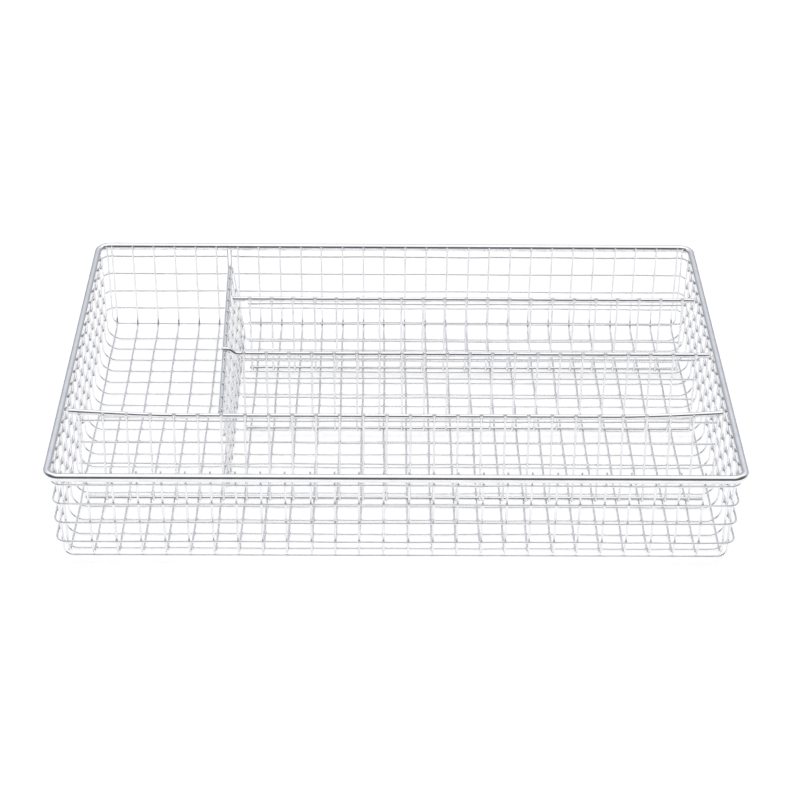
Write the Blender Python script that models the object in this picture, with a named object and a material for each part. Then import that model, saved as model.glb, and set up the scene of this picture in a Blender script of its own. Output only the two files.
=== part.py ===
# Wire mesh cutlery tray: a rim, a basket of bent wires and four mesh dividers.
# Metres, +Z up, +X along the long side, +Y away from the user. The origin is under the middle, on the table.
import math

import bmesh
import bpy
from mathutils import Matrix, Vector

# Wire gauges
MESH_WIRE = 0.0012
RIM_WIRE = 0.0045
RAIL_WIRE = 0.0030
FOOT_WIRE = 0.0024

# Gap kept at every weld between two wires, how far the wires of a panel sink into each other, and how
# near the points of a wire's end cap lie to count as one
WELD_GAP = 0.0003
WELD_BITE = 0.0003
CAP_WELD = 0.00001

# Basket mesh: columns are the depth wires, rows the cross wires
COLUMN_COUNT = 28
COLUMN_PITCH = 0.0127
SIDE_MARGIN = 0.0046
FLOOR_ROW_COUNT = 18
ROW_PITCH = 0.0122
FRONT_MARGIN = 0.0101
BACK_MARGIN = 0.0133
FLOOR_BEND_RADIUS = 0.0070
BEND_WIRE_ANGLE = math.radians(50.0)
CORNER_ROW_BEND_RADIUS = 0.0050

# Walls and rim
RIM_HEIGHT = 0.0563
RIM_CORNER_RADIUS = 0.0068
UPRIGHT_TRIM = 0.0005
WALL_ROW_COUNT = 4
TOP_ROW_DROP = 0.0058

# Dividers: heights run along the leaning panel
RAIL_DROP = 0.0038
CROSS_RAIL_DROP = 0.0046
BACK_RAIL_DROP = 0.0057
PANEL_PITCH = 0.0127
PANEL_ROW_DROP = 0.0025
PANEL_ROW_STUB = 0.0015
PANEL_END_MARGIN = 0.0025
FOOT_OVERHANG = 0.0080
FRONT_RAIL_RISE = 0.0026
FRONT_RAIL_RAMP = 0.0600
CROSS_RAIL_RISE = 0.0052
CROSS_RAIL_RAMP = 0.0120
HOOK_RAMP = 0.0032

# Places of the dividers, in pitches of the basket mesh from its first floor row and its first column
FRONT_DIVIDER_ROWS = 3.16
MIDDLE_DIVIDER_ROWS = 8.65
BACK_DIVIDER_ROWS = 13.84
CROSS_DIVIDER_COLUMNS = 6.33
FRONT_DIVIDER_LEAN = math.radians(10.0)
MIDDLE_DIVIDER_LEAN = math.radians(2.6)
BACK_DIVIDER_LEAN = math.radians(1.6)
CROSS_DIVIDER_LEAN = math.radians(4.7)
CROSS_DIVIDER_TWIST = math.radians(5.8)
LONG_PANEL_INSET = 0.0060
LANE_PANEL_INSET = 0.0058
CROSS_PANEL_INSET = 0.0150

# Facets of a bend and of a wire's section
FLOOR_BEND_STEPS = 4
WALL_ROW_BEND_STEPS = 4
RIM_BEND_STEPS = 6
MESH_WIRE_SIDES = 6
HEAVY_WIRE_SIDES = 8
SQUARE_SIDE_SHARE = 0.9

# Layers of the basket: cross wires on the table, depth wires on top of them
LAYER = MESH_WIRE + WELD_GAP
FLAT_SIDE = MESH_WIRE / 2 * math.cos(math.pi / MESH_WIRE_SIDES)
CROSS_LEVEL = FLAT_SIDE * math.cos(math.pi / 8 / FLOOR_BEND_STEPS)
DEPTH_LEVEL = CROSS_LEVEL + LAYER
CROSS_BEND_RADIUS = FLOOR_BEND_RADIUS + LAYER

# Half sizes of the box that the middles of the uprights stand on
HALF_WIDTH = (COLUMN_COUNT - 1) * COLUMN_PITCH / 2 + SIDE_MARGIN
HALF_DEPTH = ((FLOOR_ROW_COUNT - 1) * ROW_PITCH + FRONT_MARGIN + BACK_MARGIN) / 2
RIM_OFFSET = MESH_WIRE / 2 + WELD_GAP + RIM_WIRE / 2
UPRIGHT_CORNER_RADIUS = RIM_CORNER_RADIUS - RIM_OFFSET
UPRIGHT_TOP = RIM_HEIGHT + RIM_WIRE / 2 - UPRIGHT_TRIM


def clear_scene():
    for item in list(bpy.data.objects):
        bpy.data.objects.remove(item, do_unlink=True)


def new_collection(name):
    collection = bpy.data.collections.new(name)
    bpy.context.scene.collection.children.link(collection)
    return collection


def chrome(name, colour, roughness):
    material = bpy.data.materials.new(name)
    material.use_nodes = True
    shader = material.node_tree.nodes["Principled BSDF"]
    shader.inputs["Base Color"].default_value = (*colour, 1)
    shader.inputs["Metallic"].default_value = 1
    shader.inputs["Roughness"].default_value = roughness
    return material


def arc(centre, radius, start, end, steps):
    """Points of an arc in a plane, as pairs."""
    angles = [start + (end - start) * step / steps for step in range(steps + 1)]
    return [(centre[0] + radius * math.cos(a), centre[1] + radius * math.sin(a)) for a in angles]


def wire(name, points, gauge, sides, material, closed=False, tilt=0.0):
    """A round wire along points: a curve with a bevel and filled ends."""
    curve = bpy.data.curves.new(name, "CURVE")
    curve.dimensions = "3D"
    curve.twist_mode = "MINIMUM"
    spline = curve.splines.new("POLY")
    spline.points.add(len(points) - 1)
    for spot, point in zip(spline.points, points):
        spot.co = (*point, 1)
        spot.tilt = tilt
    spline.use_cyclic_u = closed
    curve.bevel_depth = gauge / 2
    curve.bevel_resolution = sides // 2 - 2
    curve.use_fill_caps = not closed
    curve.materials.append(material)
    item = bpy.data.objects.new(name, curve)
    tray.objects.link(item)
    return item


def as_mesh(item):
    """The same piece as a mesh with welded caps, so that it can be joined to another."""
    mesh = bpy.data.meshes.new_from_object(item.evaluated_get(bpy.context.evaluated_depsgraph_get()))
    shape = bmesh.new()
    shape.from_mesh(mesh)
    bmesh.ops.remove_doubles(shape, verts=shape.verts, dist=CAP_WELD)
    shape.to_mesh(mesh)
    shape.free()
    solid = bpy.data.objects.new(item.name, mesh)
    solid.matrix_world = item.matrix_world
    bpy.data.objects.remove(item, do_unlink=True)
    return solid


def bar(shape, start, end, width, depth):
    """A straight square bar from start to end, along local X or Z, added to a shape."""
    start, end = Vector(start), Vector(end)
    run = end - start
    size = Vector((abs(run.x) or width, depth, abs(run.z) or width))
    place = Matrix.Translation((start + end) / 2) @ Matrix.Diagonal((*size, 1))
    bmesh.ops.create_cube(shape, size=1, matrix=place)


def shape_object(name, shape, collection, material):
    mesh = bpy.data.meshes.new(name)
    shape.to_mesh(mesh)
    shape.free()
    mesh.materials.append(material)
    item = bpy.data.objects.new(name, mesh)
    collection.objects.link(item)
    return item


def corner_inset(distance):
    """How far in an upright stands from the side wall's line, this far from the next wall."""
    reach = UPRIGHT_CORNER_RADIUS - distance
    if reach <= 0:
        return 0
    return UPRIGHT_CORNER_RADIUS - math.sqrt(UPRIGHT_CORNER_RADIUS ** 2 - reach ** 2)


def bent_wire(half_span, level, bend_radius):
    """Outline of a wire that comes down one wall, runs along the floor and goes up the other wall."""
    bend_level = level + bend_radius
    left = arc((bend_radius - half_span, bend_level), bend_radius, math.pi, 1.5 * math.pi, FLOOR_BEND_STEPS)
    right = [(-x, z) for x, z in reversed(left)]
    return [(-half_span, UPRIGHT_TOP)] + left + right + [(half_span, UPRIGHT_TOP)]


def column_seat(column):
    """X and level of a depth wire: on the flat floor, or inside the bend of the cross wires."""
    x = (column - (COLUMN_COUNT - 1) / 2) * COLUMN_PITCH
    into_bend = abs(x) - (HALF_WIDTH - CROSS_BEND_RADIUS)
    if into_bend <= 0:
        return x, DEPTH_LEVEL
    drop = math.sqrt(FLOOR_BEND_RADIUS ** 2 - into_bend ** 2)
    return x, DEPTH_LEVEL + FLOOR_BEND_RADIUS - drop


def row_place(row):
    """Y of a floor row of the mesh, counted from the front."""
    return -HALF_DEPTH + FRONT_MARGIN + row * ROW_PITCH


def add_depth_wires():
    for column in range(COLUMN_COUNT):
        x, level = column_seat(column)
        half_span = HALF_DEPTH - corner_inset(HALF_WIDTH - abs(x))
        outline = bent_wire(half_span, level, FLOOR_BEND_RADIUS)
        points = [(x, y, z) for y, z in outline]
        wire(f"depth_wire_{column + 1:02d}", points, MESH_WIRE, MESH_WIRE_SIDES, mesh_chrome)


def add_cross_wires():
    flat_down = math.pi / MESH_WIRE_SIDES
    outline = bent_wire(HALF_WIDTH, CROSS_LEVEL, CROSS_BEND_RADIUS)
    for row in range(FLOOR_ROW_COUNT):
        points = [(x, row_place(row), z) for x, z in outline]
        wire(f"cross_wire_{row + 1:02d}", points, MESH_WIRE, MESH_WIRE_SIDES, mesh_chrome, tilt=flat_down)


def add_bend_row(name, side):
    """The cross wire that lies outside the depth wires, part of the way round their bend."""
    y_inset = FLOOR_BEND_RADIUS - CROSS_BEND_RADIUS * math.sin(BEND_WIRE_ANGLE)
    level = DEPTH_LEVEL + FLOOR_BEND_RADIUS - CROSS_BEND_RADIUS * math.cos(BEND_WIRE_ANGLE)
    half_span = HALF_WIDTH - corner_inset(y_inset)
    outline = bent_wire(half_span, level, CORNER_ROW_BEND_RADIUS)
    points = [(x, side * (HALF_DEPTH - y_inset), z) for x, z in outline]
    wire(name, points, MESH_WIRE, MESH_WIRE_SIDES, mesh_chrome)


def ring(offset, radius, height, steps):
    """A level rounded rectangle, this far outside the uprights."""
    across = HALF_WIDTH + offset - radius
    along = HALF_DEPTH + offset - radius
    points = []
    for quarter, (side, end) in enumerate(((1, 1), (-1, 1), (-1, -1), (1, -1))):
        start = quarter * math.pi / 2
        corner = arc((side * across, end * along), radius, start, start + math.pi / 2, steps)
        points += [(x, y, height) for x, y in corner]
    return points


def add_wall_rows():
    for row in range(WALL_ROW_COUNT):
        height = RIM_HEIGHT - TOP_ROW_DROP - row * ROW_PITCH
        points = ring(LAYER, UPRIGHT_CORNER_RADIUS + LAYER, height, WALL_ROW_BEND_STEPS)
        wire(f"wall_row_{row + 1}", points, MESH_WIRE, MESH_WIRE_SIDES, mesh_chrome, closed=True)


def add_rim():
    points = ring(RIM_OFFSET, RIM_CORNER_RADIUS, RIM_HEIGHT, RIM_BEND_STEPS)
    wire("rim", points, RIM_WIRE, HEAVY_WIRE_SIDES, heavy_chrome, closed=True)


# A divider is drawn in its own frame: X along it, Z up the lean, and the rail and the foot wire behind (+Y)
# its uprights.
COLUMN_HALF = MESH_WIRE * SQUARE_SIDE_SHARE / 2
FOOT_HALF = FOOT_WIRE * SQUARE_SIDE_SHARE / 2
ROW_SEAT = 2 * COLUMN_HALF - WELD_BITE
FOOT_SEAT = COLUMN_HALF + FOOT_HALF - WELD_BITE
RAIL_SEAT = COLUMN_HALF + WELD_GAP + RAIL_WIRE / 2
JOINED_RAIL_SEAT = COLUMN_HALF - WELD_BITE + RAIL_WIRE / 2


def steps_between(start, end, pitch):
    """Places one pitch apart from start towards end, none of them past it."""
    side = 1 if end > start else -1
    return [start + side * step * pitch for step in range(int(abs(end - start) / pitch) + 1)]


def flat(point):
    """A point of a divider that isn't twisted stays where it is."""
    return Vector(point)


def panel(name, place, columns, foot_ends, foot_level, rail_height, column_top, bend=flat):
    """Mesh of a divider: square bars for its uprights, rows and foot wire, joined where they cross."""
    lowest_row = foot_level + FOOT_HALF + COLUMN_HALF + PANEL_ROW_STUB
    row_heights = steps_between(rail_height - PANEL_ROW_DROP, lowest_row, PANEL_PITCH)
    uprights = bmesh.new()
    for x in columns:
        on_foot = foot_ends[0] < x - COLUMN_HALF and x + COLUMN_HALF < foot_ends[1]
        bottom = foot_level if on_foot else row_heights[-1] - PANEL_ROW_STUB
        bar(uprights, (x, 0, bottom), (x, 0, column_top), 2 * COLUMN_HALF, 2 * COLUMN_HALF)
    rows = bmesh.new()
    row_ends = columns[0] - PANEL_ROW_STUB, columns[-1] + PANEL_ROW_STUB
    for height in row_heights:
        ends = [(x, ROW_SEAT, height) for x in row_ends]
        bar(rows, *ends, 2 * COLUMN_HALF, 2 * COLUMN_HALF)
    bar(rows, *[(x, FOOT_SEAT, foot_level) for x in foot_ends], 2 * FOOT_HALF, 2 * FOOT_HALF)
    for shape in (uprights, rows):
        for corner in shape.verts:
            corner.co = bend(corner.co)
    item = shape_object(name, uprights, tray, panel_chrome)
    item.matrix_world = place
    join(item, shape_object(name + "_rows", rows, cutters, panel_chrome), place)
    return item


def join(item, other, place):
    """Weld another solid, drawn in the same frame, to a piece."""
    other.matrix_world = place
    other.hide_render = True
    other.display_type = "WIRE"
    union = item.modifiers.new("weld_" + other.name, "BOOLEAN")
    union.operation = "UNION"
    union.object = other


def divider_place(spot, lean, turn=0.0):
    return Matrix.Translation(spot) @ Matrix.Rotation(turn, 4, "Z") @ Matrix.Rotation(-lean, 4, "X")


def rail(name, place, points):
    item = wire(name, points, RAIL_WIRE, HEAVY_WIRE_SIDES, heavy_chrome)
    item.matrix_world = place
    return item


def add_front_divider(wall, foot_level, foot_limit):
    """The divider over the full width, whose rail bows up towards both side walls."""
    height = RIM_HEIGHT - RAIL_DROP
    place = divider_place((0, row_place(FRONT_DIVIDER_ROWS), 0), FRONT_DIVIDER_LEAN)
    columns = steps_between(LONG_PANEL_INSET - HALF_WIDTH, HALF_WIDTH - PANEL_END_MARGIN, COLUMN_PITCH)
    foot_ends = -foot_limit, foot_limit
    column_top = height + RAIL_WIRE / 2
    panel("front_divider_panel", place, columns, foot_ends, foot_level, height, column_top)
    middle = wall - FRONT_RAIL_RAMP
    path = ((-wall, FRONT_RAIL_RISE), (-middle, 0), (middle, 0), (wall, FRONT_RAIL_RISE))
    rail("front_divider_rail", place, [(x, RAIL_SEAT, height + rise) for x, rise in path])
    return (place @ Vector((0, RAIL_SEAT, height))).y + RAIL_WIRE / 2 + WELD_GAP


def add_cross_divider(front_end):
    """The twisted divider from the front one's rail to the back wall, with its rail welded to its panel."""
    height = RIM_HEIGHT - CROSS_RAIL_DROP
    foot_x = column_seat(0)[0] + CROSS_DIVIDER_COLUMNS * COLUMN_PITCH
    place = divider_place((foot_x, 0, 0), CROSS_DIVIDER_LEAN, math.pi / 2)
    back_wall = HALF_DEPTH - MESH_WIRE / 2 - WELD_GAP
    middle = (front_end + back_wall) / 2
    twist_rate = CROSS_DIVIDER_TWIST / (back_wall - front_end)

    def twisted(point):
        return Vector((point[0], point[1] + twist_rate * (point[0] - middle) * point[2], point[2]))

    first_column = row_place(FRONT_DIVIDER_ROWS) + CROSS_PANEL_INSET
    columns = steps_between(first_column, HALF_DEPTH - FLOOR_BEND_RADIUS - MESH_WIRE, COLUMN_PITCH)
    foot_ends = columns[0] - PANEL_ROW_STUB, columns[-1] + PANEL_ROW_STUB
    foot_level = CROSS_LEVEL + MESH_WIRE / 2 + WELD_GAP + FOOT_WIRE / 2
    cross = panel("cross_divider", place, columns, foot_ends, foot_level, height, height, twisted)
    path = ((front_end, 0), (back_wall - CROSS_RAIL_RAMP, 0), (back_wall, CROSS_RAIL_RISE))
    points = [twisted((along, JOINED_RAIL_SEAT, height + rise)) for along, rise in path]
    cross_rail = as_mesh(wire("cross_divider_rail", points, RAIL_WIRE, HEAVY_WIRE_SIDES, heavy_chrome))
    cutters.objects.link(cross_rail)
    join(cross, cross_rail, place)
    return foot_x, lambda along, seat: (place @ twisted((along, seat, height))).x


def add_lane_divider(name, rows, lean, drop, lane, hooked):
    """A divider from the cross divider to the right wall, its rail hooked over the cross rail or not."""
    height = RIM_HEIGHT - drop
    lane_start, foot_limit, wall, foot_level, cross_x = lane
    place = divider_place((0, row_place(rows), 0), lean)
    columns = steps_between(lane_start, HALF_WIDTH - PANEL_END_MARGIN, COLUMN_PITCH)
    foot_ends = columns[0] - PANEL_ROW_STUB, foot_limit
    column_top = height + RAIL_WIRE / 2
    panel(name + "_divider_panel", place, columns, foot_ends, foot_level, height, column_top)
    rail_front = (place @ Vector((0, RAIL_SEAT, height))).y - RAIL_WIRE / 2
    face = cross_x(rail_front, -COLUMN_HALF - WELD_GAP)
    if hooked:
        over = height + drop - CROSS_RAIL_DROP + RAIL_WIRE + 2 * WELD_GAP
        points = [(cross_x(rail_front, JOINED_RAIL_SEAT + RAIL_WIRE / 2), RAIL_SEAT, over),
                  (face, RAIL_SEAT, over), (face + HOOK_RAMP, RAIL_SEAT, height)]
    else:
        points = [(face, RAIL_SEAT, height)]
    rail(name + "_divider_rail", place, points + [(wall, RAIL_SEAT, height)])


def add_dividers():
    wall = HALF_WIDTH - MESH_WIRE / 2 - WELD_GAP
    foot_level = DEPTH_LEVEL + MESH_WIRE / 2 + WELD_GAP + FOOT_WIRE / 2
    foot_limit = column_seat(COLUMN_COUNT - 2)[0] + FOOT_OVERHANG
    front_end = add_front_divider(wall, foot_level, foot_limit)
    foot_x, cross_x = add_cross_divider(front_end)
    lane = foot_x + LANE_PANEL_INSET, foot_limit, wall, foot_level, cross_x
    add_lane_divider("middle", MIDDLE_DIVIDER_ROWS, MIDDLE_DIVIDER_LEAN, RAIL_DROP, lane, hooked=True)
    add_lane_divider("back", BACK_DIVIDER_ROWS, BACK_DIVIDER_LEAN, BACK_RAIL_DROP, lane, hooked=False)


clear_scene()
tray = new_collection("cutlery_tray")
cutters = new_collection("joined_shapes")
mesh_chrome = chrome("chrome_mesh_wire", (0.80, 0.80, 0.81), 0.18)
heavy_chrome = chrome("chrome_heavy_wire", (0.84, 0.84, 0.85), 0.10)
panel_chrome = chrome("chrome_panel_wire", (0.78, 0.78, 0.79), 0.20)
add_rim()
add_depth_wires()
add_cross_wires()
add_bend_row("front_bend_wire", -1)
add_bend_row("back_bend_wire", 1)
add_wall_rows()
add_dividers()
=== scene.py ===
import math
import random

import bmesh
import bpy
from mathutils import Matrix, Vector


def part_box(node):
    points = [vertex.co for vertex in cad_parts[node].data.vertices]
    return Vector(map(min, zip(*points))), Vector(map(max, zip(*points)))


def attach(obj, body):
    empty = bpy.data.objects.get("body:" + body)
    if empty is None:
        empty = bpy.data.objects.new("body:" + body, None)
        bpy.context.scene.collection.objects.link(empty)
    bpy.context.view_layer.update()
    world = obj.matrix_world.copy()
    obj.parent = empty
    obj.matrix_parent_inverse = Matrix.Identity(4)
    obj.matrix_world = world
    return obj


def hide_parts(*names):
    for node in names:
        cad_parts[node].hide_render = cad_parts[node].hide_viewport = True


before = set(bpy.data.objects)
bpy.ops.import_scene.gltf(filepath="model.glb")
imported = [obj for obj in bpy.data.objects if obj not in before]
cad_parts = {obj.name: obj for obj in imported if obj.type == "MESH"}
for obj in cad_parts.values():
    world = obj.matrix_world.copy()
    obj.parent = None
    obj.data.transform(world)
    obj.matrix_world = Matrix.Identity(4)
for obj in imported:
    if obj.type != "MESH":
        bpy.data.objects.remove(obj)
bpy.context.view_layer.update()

# Cross wires: thin drawn steel wires that lie on the table from the left wall to the right wall, one every
# mesh pitch, and are bent up at both ends to stand in the side walls. They are welded to the depth wires
# while the mesh is flat, bent with it and chrome plated.
rng = random.Random(4)
mesh_stray = 0.00025
low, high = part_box("cross_wire_01")
mesh_gauge = high.y - low.y
half_width = high.x - mesh_gauge / 2
wire_top = high.z
cross_level = mesh_gauge / 2
weld_gap = 0.0003
floor_bend = 0.0085
row_count = sum(name.startswith("cross_wire_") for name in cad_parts)
row_places = []
for number in range(1, row_count + 1):
    low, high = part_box(f"cross_wire_{number:02d}")
    row_places.append((low.y + high.y) / 2)
mesh_steel = (0.93, 0.93, 0.94)


def chrome(name, colour, roughness, spread, bump):
    """Chrome plate over drawn wire: its tone and polish drift a little, and fine pits catch the light."""
    material = bpy.data.materials.new(name)
    material.use_nodes = True
    nodes, links = material.node_tree.nodes, material.node_tree.links
    shader = nodes["Principled BSDF"]
    shader.inputs["Metallic"].default_value = 1
    place = nodes.new("ShaderNodeTexCoord")
    drift = nodes.new("ShaderNodeTexNoise")
    drift.inputs["Scale"].default_value = 160
    drift.inputs["Detail"].default_value = 3
    links.new(place.outputs["Object"], drift.inputs["Vector"])
    tone = nodes.new("ShaderNodeValToRGB")
    tone.color_ramp.elements[0].position = 0.30
    tone.color_ramp.elements[0].color = (*[part * 0.93 for part in colour], 1)
    tone.color_ramp.elements[1].position = 0.60
    tone.color_ramp.elements[1].color = (*colour, 1)
    links.new(drift.outputs["Fac"], tone.inputs["Fac"])
    links.new(tone.outputs["Color"], shader.inputs["Base Color"])
    polish = nodes.new("ShaderNodeMapRange")
    polish.inputs["To Min"].default_value = roughness
    polish.inputs["To Max"].default_value = roughness + spread
    links.new(drift.outputs["Fac"], polish.inputs["Value"])
    links.new(polish.outputs["Result"], shader.inputs["Roughness"])
    pits = nodes.new("ShaderNodeTexNoise")
    pits.inputs["Scale"].default_value = 1600
    pits.inputs["Detail"].default_value = 2
    links.new(place.outputs["Object"], pits.inputs["Vector"])
    relief = nodes.new("ShaderNodeBump")
    relief.inputs["Strength"].default_value = bump
    relief.inputs["Distance"].default_value = 0.0001
    links.new(pits.outputs["Fac"], relief.inputs["Height"])
    links.new(relief.outputs["Normal"], shader.inputs["Normal"])
    return material


def add_ring(shape, centre, across, up, radius, sides):
    turns = [2 * math.pi * side / sides for side in range(sides)]
    return [shape.verts.new(centre + radius * (math.cos(t) * across + math.sin(t) * up)) for t in turns]


def bridge(shape, one, other):
    for side in range(len(one)):
        after = (side + 1) % len(one)
        shape.faces.new((one[side], one[after], other[after], other[side]))


def add_wire(shape, path, gauge, sides=10, closed=False):
    """Skin of a round wire along a path, with its cut ends a little rounded by the plating."""
    # Rings of a cut end: distance from the cut and radius, as shares of the gauge.
    end_rings = [(0, 0.34), (0.14, 0.50), (0.24, 0.50)]
    path = [Vector(point) for point in path]
    count = len(path)
    runs = []
    for spot in range(count):
        before = path[spot - 1] if closed or spot > 0 else path[spot]
        after = path[(spot + 1) % count] if closed or spot < count - 1 else path[spot]
        runs.append((after - before).normalized())
    across = runs[0].orthogonal().normalized()
    rings = []
    for spot in range(count):
        across = (across - across.dot(runs[spot]) * runs[spot]).normalized()
        up = runs[spot].cross(across)
        if not closed and spot in (0, count - 1):
            inward = gauge * runs[spot] * (1 if spot == 0 else -1)
            for distance, radius in end_rings if spot == 0 else reversed(end_rings):
                centre = path[spot] + distance * inward
                rings.append(add_ring(shape, centre, across, up, gauge * radius, sides))
        else:
            rings.append(add_ring(shape, path[spot], across, up, gauge / 2, sides))
    for one, other in zip(rings, rings[1:]):
        bridge(shape, one, other)
    if closed:
        bridge(shape, rings[-1], rings[0])
    else:
        shape.faces.new(list(reversed(rings[0])))
        shape.faces.new(rings[-1])


def piece(name, shape, material, slot, *nodes):
    """A finished piece that rides on the tray and stands for the named nodes."""
    bmesh.ops.recalc_face_normals(shape, faces=shape.faces)
    mesh = bpy.data.meshes.new(name)
    shape.to_mesh(mesh)
    shape.free()
    mesh.materials.append(material)
    mesh.shade_smooth()
    made = bpy.data.objects.new(name, mesh)
    bpy.context.scene.collection.objects.link(made)
    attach(made, "root")
    if nodes:
        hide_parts(*nodes)
    return made


def points_between(start, end, step):
    """Evenly spaced places from start up to, but not at, end."""
    count = max(1, round(abs(end - start) / step))
    return [start + (end - start) * number / count for number in range(count)]


def bent_outline(half_span, level, bend, top, step=0.0031, bend_steps=8):
    """Down one wall, round the bend, along the floor and up the other wall, as pairs."""
    wall = [(-half_span, height) for height in points_between(top, level + bend, step)]
    turns = [math.pi + math.pi / 2 * number / bend_steps for number in range(bend_steps)]
    corner = [(bend - half_span + bend * math.cos(t), level + bend + bend * math.sin(t)) for t in turns]
    half_floor = [(place, level) for place in points_between(bend - half_span, 0, step)]
    left = wall + corner + half_floor
    return left + [(0, level)] + [(-place, height) for place, height in reversed(left)]


def waver(size):
    """How far one wire strays sideways from its straight line, as one long and one short wave along it."""
    full_turn = 2 * math.pi
    waves = []
    for shares, lengths in (((0.4, 1.0), (0.09, 0.16)), ((0.2, 0.5), (0.035, 0.060))):
        waves.append((size * rng.uniform(*shares), rng.uniform(*lengths), rng.uniform(0, full_turn)))
    return lambda place: sum(s * math.sin(full_turn * place / length + turn) for s, length, turn in waves)


mesh_chrome = chrome("chrome_on_mesh_wire", mesh_steel, 0.16, 0.08, 0.05)
row_wavers = [waver(mesh_stray) for place in row_places]
for number, place in enumerate(row_places, start=1):
    shape = bmesh.new()
    stray = row_wavers[number - 1]
    outline = bent_outline(half_width, cross_level, floor_bend, wire_top)
    add_wire(shape, [(x, place + stray(x), z) for x, z in outline], mesh_gauge)
    node = f"cross_wire_{number:02d}"
    piece(f"cross_wire_plated_{number:02d}", shape, mesh_chrome, "chrome_mesh_wire", node)

# Depth wires: the same thin steel wire, laid on top of the cross wires and welded to them. They run from the
# front wall over the floor to the back wall, and their bent-up ends are the uprights of both walls.
column_count = sum(name.startswith("depth_wire_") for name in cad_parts)
column_places = []
column_levels = []
column_reaches = []
for number in range(1, column_count + 1):
    low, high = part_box(f"depth_wire_{number:02d}")
    column_places.append((low.x + high.x) / 2)
    column_levels.append(low.z + mesh_gauge / 2)
    column_reaches.append(high.y - mesh_gauge / 2)
usual_column = 9
half_depth = column_reaches[usual_column]
depth_bend = 0.0070
column_wavers = [waver(mesh_stray) for place in column_places]
for number, place in enumerate(column_places, start=1):
    shape = bmesh.new()
    stray = column_wavers[number - 1]
    outline = bent_outline(column_reaches[number - 1], column_levels[number - 1], depth_bend, wire_top)
    add_wire(shape, [(place + stray(y), y, z) for y, z in outline], mesh_gauge)
    node = f"depth_wire_{number:02d}"
    piece(f"depth_wire_plated_{number:02d}", shape, mesh_chrome, "chrome_mesh_wire", node)

# Bend wires: the cross wire in the bend before the front wall and the one before the back wall, of the same
# thin steel wire. They lie outside the depth wires, are welded to them and turn up sharply at their ends.
corner_bend = 0.0050
for side in ("front", "back"):
    low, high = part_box(f"{side}_bend_wire")
    middle = (low.y + high.y) / 2
    outline = bent_outline(high.x - mesh_gauge / 2, low.z + mesh_gauge / 2, corner_bend, wire_top)
    shape = bmesh.new()
    add_wire(shape, [(x, middle, z) for x, z in outline], mesh_gauge)
    piece(f"{side}_bend_wire_plated", shape, mesh_chrome, "chrome_mesh_wire", f"{side}_bend_wire")

# Wall rows: closed hoops of the same thin steel wire round the outside of the uprights. Each is welded to
# every upright that it crosses, which leaves it a little wavy.
corner_radius = 0.00515
hoop_stray = 0.00018


def hoop(half_x, half_y, radius, height, step=0.0063, corner_steps=8):
    """A level rounded rectangle, from the middle of the right side round by the back."""
    points = []
    for quarter, (side, end) in enumerate(((1, 1), (-1, 1), (-1, -1), (1, -1))):
        start = quarter * math.pi / 2
        turns = [start + math.pi / 2 * number / corner_steps for number in range(corner_steps + 1)]
        centre_x, centre_y = side * (half_x - radius), end * (half_y - radius)
        corner = [(centre_x + radius * math.cos(t), centre_y + radius * math.sin(t), height) for t in turns]
        if points:
            gap = (Vector(corner[0]) - Vector(points[-1])).length
            points += [tuple(Vector(points[-1]).lerp(Vector(corner[0]), s / gap))
                       for s in points_between(0, gap, step)[1:]]
        points += corner
    gap = (Vector(points[0]) - Vector(points[-1])).length
    return points + [tuple(Vector(points[-1]).lerp(Vector(points[0]), s / gap))
                     for s in points_between(0, gap, step)[1:]]


wall_row_count = sum(name.startswith("wall_row_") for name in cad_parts)
row_heights = []
for number in range(1, wall_row_count + 1):
    low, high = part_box(f"wall_row_{number}")
    row_heights.append((low.z + high.z) / 2)
    shape = bmesh.new()
    path = hoop(high.x - mesh_gauge / 2, high.y - mesh_gauge / 2, corner_radius, row_heights[-1])
    stray = waver(hoop_stray)
    path = [(x, y, z + stray(x) + stray(y) / 2) for x, y, z in path]
    add_wire(shape, path, mesh_gauge, closed=True)
    piece(f"wall_row_plated_{number}", shape, mesh_chrome, "chrome_mesh_wire", f"wall_row_{number}")

# Rim: one thick steel wire, bent to a closed rounded rectangle and welded round the outside of the mesh's
# top. It is chrome plated with the rest, and smoother than the thin wires.
low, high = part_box("rim")
rim_gauge = high.z - low.z
rim_height = (low.z + high.z) / 2
rim_corner = 0.0068
heavy_steel = (0.90, 0.90, 0.91)
heavy_chrome = chrome("chrome_on_heavy_wire", heavy_steel, 0.10, 0.04, 0.02)
shape = bmesh.new()
path = hoop(high.x - rim_gauge / 2, high.y - rim_gauge / 2, rim_corner, rim_height, corner_steps=14)
add_wire(shape, path, rim_gauge, sides=24, closed=True)
piece("rim_plated", shape, heavy_chrome, "chrome_heavy_wire", "rim")

# Welds of the basket: the wires are pressed hot into each other at each crossing, which leaves a small bead
# of steel between them under the plating. The beads are smaller on the front and back walls. Their darker
# colour is partly the weld's own flash and partly painted shade where the wires cross.
bead = mesh_gauge * 0.54
small_bead = bead * 0.75
rim_bead = mesh_gauge * 0.72
small_rim_bead = mesh_gauge * 0.50
rim_squash = 0.5
lift = mesh_gauge / 2 + weld_gap / 2
# Bead colour darker than the wire: partly weld flash, partly painted shade at the wire crossings.
weld_flash_and_painted_shade = (0.70, 0.70, 0.72)
weld_chrome = chrome("chrome_on_weld_bead", weld_flash_and_painted_shade, 0.30, 0.15, 0.20)


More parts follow.
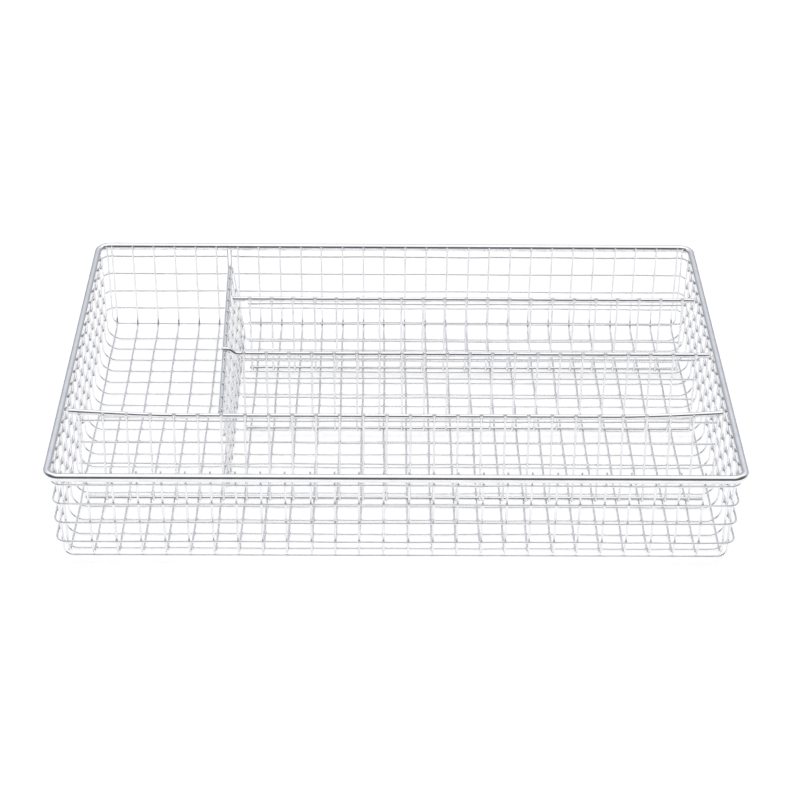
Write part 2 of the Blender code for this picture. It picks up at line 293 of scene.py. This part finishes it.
def add_bead(shape, spot, radius, squash=0.7, axis="Z", sides=8):
    """A small flattened ball of weld metal, pressed along the named axis, as three rings with flat ends."""
    ring_shares = (0.16, 0.50, 0.84)
    up = {"X": Vector((1, 0, 0)), "Y": Vector((0, 1, 0)), "Z": Vector((0, 0, 1))}[axis]
    across = up.orthogonal()
    other = up.cross(across)
    rings = []
    for share in ring_shares:
        level = Vector(spot) + up * radius * squash * math.cos(math.pi * share)
        rings.append(add_ring(shape, level, across, other, radius * math.sin(math.pi * share), sides))
    for one, after in zip(rings, rings[1:]):
        bridge(shape, one, after)
    shape.faces.new(list(reversed(rings[0])))
    shape.faces.new(rings[-1])


floor_beads = bmesh.new()
for x, column_stray in zip(column_places[1:-1], column_wavers[1:-1]):
    for y, row_stray in zip(row_places, row_wavers):
        add_bead(floor_beads, (x + column_stray(y), y + row_stray(x), cross_level + lift), bead)
piece("floor_weld_beads", floor_beads, weld_chrome, "chrome_mesh_wire")
wall_beads = bmesh.new()
for side in (-1, 1):
    for z in row_heights:
        for x, stray in zip(column_places[1:-1], column_wavers[1:-1]):
            spot = x + stray(side * half_depth), side * (half_depth + lift), z
            add_bead(wall_beads, spot, small_bead, axis="Y")
        for y, stray in zip(row_places, row_wavers):
            spot = side * (half_width + lift), y + stray(side * half_width), z
            add_bead(wall_beads, spot, bead, axis="X")
    for x, stray in zip(column_places[1:-1], column_wavers[1:-1]):
        spot = x + stray(side * half_depth), side * (half_depth + lift), rim_height
        add_bead(wall_beads, spot, small_rim_bead, squash=rim_squash, axis="Y")
    for y, stray in zip(row_places, row_wavers):
        spot = side * (half_width + lift), y + stray(side * half_width), rim_height
        add_bead(wall_beads, spot, rim_bead, squash=rim_squash, axis="X")
piece("wall_weld_beads", wall_beads, weld_chrome, "chrome_mesh_wire")

# Front divider: a strip of welded steel mesh over the full width, chrome plated with the basket. Its thick
# top wire bows up a little to both side walls, and its uprights are pressed flat where they meet that wire.
# The thick wire along its foot is welded to the depth wires.
panel_pitch = 0.0127
panel_row_count = 4
panel_row_drop = 0.0025
panel_stub = 0.0015
panel_step = 0.0063
rail_gauge = 0.0030
foot_gauge = 0.0024
upright_half = 0.00054
rail_seat = upright_half + weld_gap + rail_gauge / 2
row_seat = mesh_gauge * 0.8
foot_seat = mesh_gauge / 2 + foot_gauge / 2 - weld_gap
foot_bead = bead * 1.3
upright_stray = 0.00015
panel_row_stray = 0.00018
pressed_gauge = 0.0020
pressed_shares = (-0.45, 0.70)
panel_steel = (0.92, 0.92, 0.93)
panel_chrome = chrome("chrome_on_divider_mesh", panel_steel, 0.16, 0.08, 0.05)


def as_drawn(point):
    return Vector(point)


def divider_mesh(place, columns, foot_ends, foot_level, rail_height, column_top, bend=as_drawn):
    """Round uprights, spread where they are pressed to the rail, the rows behind them and the foot wire."""
    panel = bmesh.new()
    foot = bmesh.new()
    rows = [rail_height - panel_row_drop - number * panel_pitch for number in range(panel_row_count)]
    pressed_ends = [rail_height + rail_gauge * share for share in pressed_shares]
    for x in columns:
        on_foot = foot_ends[0] < x < foot_ends[1]
        bottom = foot_level - foot_gauge / 2 if on_foot else rows[-1] - panel_stub
        stray = waver(upright_stray)
        heights = points_between(bottom, column_top, panel_step) + [column_top]
        add_wire(panel, [(x + stray(z), 0, z) for z in heights], mesh_gauge)
        add_wire(panel, [(x, pressed_gauge / 2, z) for z in pressed_ends], pressed_gauge)
        for z in rows:
            add_bead(panel, (x + stray(z), row_seat / 2, z), bead, axis="Y")
        if on_foot:
            add_bead(panel, (x, row_seat / 2, foot_level), foot_bead, axis="Y")
    for z in rows:
        ends = columns[0] - panel_stub, columns[-1] + panel_stub
        stations = points_between(*ends, panel_step) + [ends[1]]
        stray = waver(panel_row_stray)
        add_wire(panel, [(x, row_seat, z + stray(x)) for x in stations], mesh_gauge)
    stations = points_between(*foot_ends, panel_step) + [foot_ends[1]]
    add_wire(foot, [(x, foot_seat, foot_level) for x in stations], foot_gauge, sides=14)
    for shape in (panel, foot):
        for corner in shape.verts:
            corner.co = place @ bend(corner.co)
    return panel, foot


def eased(points, bend_length=0.006, steps=5):
    """Rounds the corners of a rail's few points."""
    path = [Vector(points[0])]
    for before, corner, after in zip(points, points[1:], points[2:]):
        before, corner, after = Vector(before), Vector(corner), Vector(after)
        reach = min((corner - before).length, (after - corner).length, bend_length) / 2
        start = corner + (before - corner).normalized() * reach
        end = corner + (after - corner).normalized() * reach
        for step in range(steps + 1):
            t = step / steps
            path.append(start.lerp(corner, t).lerp(corner.lerp(end, t), t))
    return path + [Vector(points[-1])]


def rail_centre(node, lean):
    """The straight run of a rail and the foot of its divider, from the node and its lean."""
    low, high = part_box(node)
    y, z = low.y + rail_gauge / 2, low.z + rail_gauge / 2
    height = (z + rail_seat * math.sin(lean)) / math.cos(lean)
    return y - rail_seat * math.cos(lean) - height * math.sin(lean), height


def stand(spot, lean, turn=0.0):
    return Matrix.Translation(spot) @ Matrix.Rotation(turn, 4, "Z") @ Matrix.Rotation(-lean, 4, "X")


def steps_between(start, end, pitch):
    return [start + number * pitch for number in range(int((end - start) / pitch) + 1)]


def rail_piece(name, path, *nodes):
    shape = bmesh.new()
    add_wire(shape, path, rail_gauge, sides=18)
    return piece(name, shape, heavy_chrome, "chrome_heavy_wire", *nodes)


wall = half_width + mesh_gauge / 2 + weld_gap
foot_overrun = 0.0105
foot_reach = column_places[-2] + foot_overrun
foot_level = column_levels[usual_column] + mesh_gauge / 2 + foot_gauge / 2
front_inset = 0.0060
last_margin = 0.0025
front_lean = math.radians(10)
front_y, rail_height = rail_centre("front_divider_rail", front_lean)
front_place = stand((0, front_y, 0), front_lean)
columns = steps_between(front_inset - half_width, half_width - last_margin, panel_pitch)
panel, foot = divider_mesh(front_place, columns, (-foot_reach, foot_reach), foot_level, rail_height,
                           rail_height + rail_gauge / 2)
piece("front_divider_mesh", panel, panel_chrome, "chrome_panel_wire", "front_divider_panel")
piece("front_divider_foot_wire", foot, heavy_chrome, "chrome_panel_wire")
bow_rise = 0.0026
bow_run = 0.0600
bow_power = 1.6
path = []
for x in points_between(-wall, wall, panel_step) + [wall]:
    bow = max(0.0, abs(x) - (wall - bow_run)) / bow_run
    path.append(front_place @ Vector((x, rail_seat, rail_height + bow_rise * bow ** bow_power)))
rail_piece("front_divider_top_rail", path, "front_divider_rail")

# Cross divider: the same mesh and wires from the front divider's rail to the back wall, where the top wire
# rises to the rim. It was welded in with a slight twist: its top runs askew while its foot stays square.
cross_lean = math.radians(4.7)
cross_twist = math.radians(5.8)
cross_drop = 0.0046
cross_height = rim_height - cross_drop
cross_column = 6.33
cross_foot_x = column_places[0] + cross_column * (column_places[1] - column_places[0])
cross_inset = 0.0150
cross_upright_rise = rail_gauge * 0.3
cross_rise = 0.0052
cross_rise_run = 0.0120
cross_place = stand((cross_foot_x, 0, 0), cross_lean, math.pi / 2)
joined_seat = upright_half - weld_gap + rail_gauge / 2
cross_start = (front_place @ Vector((0, rail_seat, rail_height))).y + rail_gauge / 2 + weld_gap
cross_end = half_depth - mesh_gauge / 2 - weld_gap
twist_rate = cross_twist / (cross_end - cross_start)
twist_middle = (cross_start + cross_end) / 2


def twisted(point):
    return Vector((point[0], point[1] + twist_rate * (point[0] - twist_middle) * point[2], point[2]))


columns = steps_between(front_y + cross_inset, half_depth - depth_bend - mesh_gauge, panel_pitch)
ends = columns[0] - panel_stub, columns[-1] + panel_stub
cross_foot_level = cross_level + mesh_gauge / 2 + foot_gauge / 2
panel, foot = divider_mesh(cross_place, columns, ends, cross_foot_level, cross_height,
                           cross_height + cross_upright_rise, twisted)
piece("cross_divider_mesh", panel, panel_chrome, "chrome_panel_wire", "cross_divider")
piece("cross_divider_foot_wire", foot, heavy_chrome, "chrome_panel_wire")
points = [(cross_start, joined_seat, cross_height),
          (cross_end - cross_rise_run, joined_seat, cross_height),
          (cross_end, joined_seat, cross_height + cross_rise)]
rail_piece("cross_divider_top_rail", [cross_place @ twisted(point) for point in eased(points)])

# Middle and back dividers: two more strips from the cross divider to the right wall. The middle one's rail
# is cranked up to hook over the cross divider's rail, and the back one's rail butts against it.
lane_leans = {"middle": 2.6, "back": 1.6}
lane_inset = 0.0058
hook_run = 0.0032
for side, lean_degrees in lane_leans.items():
    lean = math.radians(lean_degrees)
    low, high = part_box(f"{side}_divider_rail")
    y, height = rail_centre(f"{side}_divider_rail", lean)
    place = stand((0, y, 0), lean)
    columns = steps_between(cross_foot_x + lane_inset, half_width - last_margin, panel_pitch)
    panel, foot = divider_mesh(place, columns, (columns[0] - panel_stub, foot_reach), foot_level, height,
                               height + rail_gauge / 2)
    piece(f"{side}_divider_mesh", panel, panel_chrome, "chrome_panel_wire", f"{side}_divider_panel")
    piece(f"{side}_divider_foot_wire", foot, heavy_chrome, "chrome_panel_wire")
    face = (cross_place @ twisted((low.y, -mesh_gauge / 2 - weld_gap, cross_height))).x
    if side == "middle":
        over = cross_height + rail_gauge + 2 * weld_gap
        hook_end = (cross_place @ twisted((low.y, joined_seat + rail_gauge / 2, cross_height))).x
        points = [(hook_end, rail_seat, over), (face, rail_seat, over)]
        points.append((face + hook_run, rail_seat, height))
    else:
        points = [(face, rail_seat, height)]
    points.append((wall, rail_seat, height))
    path = [place @ point for point in eased(points)]
    rail_piece(f"{side}_divider_top_rail", path, f"{side}_divider_rail")

# Studio: a white table and a light room. The room is white overhead and greyer towards the horizon. In
# front and at the sides it is dark at middle height, which the polished wires reflect as their dark line.
table_size = 12
table_drop = 0.0001
bpy.ops.mesh.primitive_plane_add(size=table_size, location=(0, 0, -table_drop))
table = bpy.context.object
table.name = "table"
paper = bpy.data.materials.new("white_table")
paper.use_nodes = True
nodes, links = paper.node_tree.nodes, paper.node_tree.links
shader = nodes["Principled BSDF"]
shader.inputs["Base Color"].default_value = (0.90, 0.90, 0.905, 1)
shader.inputs["Roughness"].default_value = 0.9
shader.inputs["Specular IOR Level"].default_value = 0.1
shader.inputs["Emission Color"].default_value = (1, 1, 1, 1)
seen = nodes.new("ShaderNodeLightPath")
direct = nodes.new("ShaderNodeMath")
direct.operation = "MAXIMUM"
links.new(seen.outputs["Is Camera Ray"], direct.inputs[0])
links.new(seen.outputs["Is Glossy Ray"], direct.inputs[1])
straight = nodes.new("ShaderNodeMath")
straight.operation = "MAXIMUM"
links.new(direct.outputs["Value"], straight.inputs[0])
links.new(seen.outputs["Is Transmission Ray"], straight.inputs[1])
glow = nodes.new("ShaderNodeMath")
glow.operation = "MULTIPLY"
glow.inputs[1].default_value = 0.52
links.new(straight.outputs["Value"], glow.inputs[0])
links.new(glow.outputs["Value"], shader.inputs["Emission Strength"])
table.data.materials.append(paper)

world = bpy.data.worlds.new("light_room")
bpy.context.scene.world = world
world.use_nodes = True
nodes, links = world.node_tree.nodes, world.node_tree.links
background = nodes["Background"]
compass = nodes.new("ShaderNodeTexCoord")
split = nodes.new("ShaderNodeSeparateXYZ")
links.new(compass.outputs["Generated"], split.inputs["Vector"])
room = nodes.new("ShaderNodeValToRGB")
room.color_ramp.elements[0].position = 0.0
room.color_ramp.elements[0].color = (0.22, 0.23, 0.25, 1)
room.color_ramp.elements[1].position = 0.80
room.color_ramp.elements[1].color = (1, 1, 1, 1)
for position, grey in ((0.35, 0.46), (0.60, 0.68)):
    room.color_ramp.elements.new(position).color = (grey * 0.97, grey, grey * 1.08, 1)
links.new(split.outputs["Z"], room.inputs["Fac"])
dark_side = nodes.new("ShaderNodeValToRGB")
dark_side.color_ramp.elements[0].position = 0.0
dark_side.color_ramp.elements[0].color = (1, 1, 1, 1)
dark_side.color_ramp.elements[1].position = 0.93
dark_side.color_ramp.elements[1].color = (1, 1, 1, 1)
for position in (0.08, 0.80):
    dark_side.color_ramp.elements.new(position).color = (0.10, 0.10, 0.104, 1)
links.new(split.outputs["Z"], dark_side.inputs["Fac"])
level = nodes.new("ShaderNodeVectorMath")
level.operation = "MULTIPLY"
level.inputs[1].default_value = (1, 1, 0)
links.new(compass.outputs["Generated"], level.inputs[0])
bearing = nodes.new("ShaderNodeVectorMath")
bearing.operation = "NORMALIZE"
links.new(level.outputs["Vector"], bearing.inputs[0])
facing = nodes.new("ShaderNodeVectorMath")
facing.operation = "DOT_PRODUCT"
facing.inputs[1].default_value = (0, -1, 0)
links.new(bearing.outputs["Vector"], facing.inputs[0])
front_share = nodes.new("ShaderNodeMapRange")
front_share.inputs["From Min"].default_value = -0.45
front_share.inputs["From Max"].default_value = 0.05
links.new(facing.outputs["Value"], front_share.inputs["Value"])
around = nodes.new("ShaderNodeMix")
around.data_type = "RGBA"
links.new(front_share.outputs["Result"], around.inputs["Factor"])
links.new(room.outputs["Color"], around.inputs["A"])
links.new(dark_side.outputs["Color"], around.inputs["B"])
lit = nodes.new("ShaderNodeVectorMath")
lit.operation = "SCALE"
lit.inputs["Scale"].default_value = 1.22
links.new(around.outputs["Result"], lit.inputs[0])
links.new(lit.outputs["Vector"], background.inputs["Color"])
background.inputs["Strength"].default_value = 1.0

# Camera: at the photograph's height and distance, in front of the tray and above it. Its long lens keeps
# the sides of the tray from spreading.
camera = bpy.data.cameras.new("camera")
camera.lens = 91.475
camera.sensor_width = 36
viewpoint = bpy.data.objects.new("camera", camera)
viewpoint.location = (-0.00764, -0.95613, 0.66993)
viewpoint.rotation_euler = (0.97715, -0.00799, -0.00537)
bpy.context.scene.collection.objects.link(viewpoint)
bpy.context.scene.camera = viewpoint
bpy.context.scene.view_settings.view_transform = "Standard"
